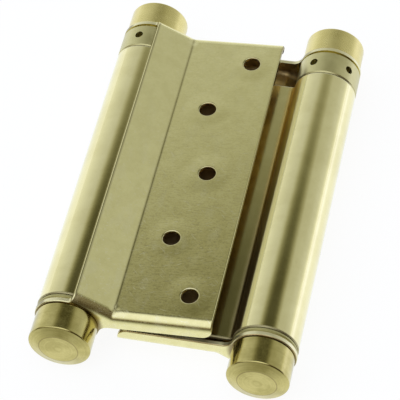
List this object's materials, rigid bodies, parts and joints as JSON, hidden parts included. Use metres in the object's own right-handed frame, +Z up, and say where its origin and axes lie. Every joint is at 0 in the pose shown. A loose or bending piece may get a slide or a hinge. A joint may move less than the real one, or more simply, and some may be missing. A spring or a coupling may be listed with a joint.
{
  "type": "spring hinge",
  "caption": "Double-action spring hinge of pressed brass-finish steel: paired leaves swing on twin spring barrels joined by a web, with tension collars and turned end caps.",
  "frame": {"origin": "floor point under the middle of the closed hinge", "axes": "+X across the barrels, +Y along the barrels towards the tension collars, +Z up as the hinge lies loosely closed on its back"},
  "size_m": [0.0856, 0.1472, 0.0236],
  "materials": {
    "leaf_brass": "satin plate with fine mottling",
    "tube_brass": "polished plate",
    "collar_brass": "satin turned",
    "cap_brass": "satin turned",
    "bare_steel": "bare steel"
  },
  "bodies": {
    "web": {"centre_web": "tube_brass", "left_bottom_plug": "collar_brass", "right_bottom_plug": "collar_brass", "left_spring": "bare_steel", "right_spring": "bare_steel"},
    "front_leaf": {"front_leaf": "leaf_brass", "left_spindle": "bare_steel", "left_top_cap": "cap_brass", "left_bottom_cap": "cap_brass"},
    "rear_leaf": {"rear_leaf": "leaf_brass", "right_spindle": "bare_steel", "right_top_cap": "cap_brass", "right_bottom_cap": "cap_brass"},
    "left_collar": {"left_tension_collar": "collar_brass"},
    "right_collar": {"right_tension_collar": "collar_brass"}
  },
  "joints": [
    {"name": "front_leaf_swing", "type": "hinge", "parent": "web", "child": "front_leaf", "pos_m": [-0.03209, 0, 0.01075], "axis": [0, -1, 0], "range_deg": [0, 180], "stiffness_Nm_per_rad": 0.8},
    {"name": "rear_leaf_swing", "type": "hinge", "parent": "web", "child": "rear_leaf", "pos_m": [0.03209, 0, 0.01262], "axis": [0, -1, 0], "range_deg": [0, 180], "stiffness_Nm_per_rad": 0.8},
    {"name": "left_collar_wind", "type": "hinge", "parent": "web", "child": "left_collar", "pos_m": [-0.03209, 0.05585, 0.01075], "axis": [0, -1, 0], "range_deg": [0, 144], "stiffness_Nm_per_rad": 0.8, "deforming": ["left_spring"]},
    {"name": "right_collar_wind", "type": "hinge", "parent": "web", "child": "right_collar", "pos_m": [0.03209, 0.05585, 0.01262], "axis": [0, -1, 0], "range_deg": [0, 144], "stiffness_Nm_per_rad": 0.8, "deforming": ["right_spring"]}
  ]
}
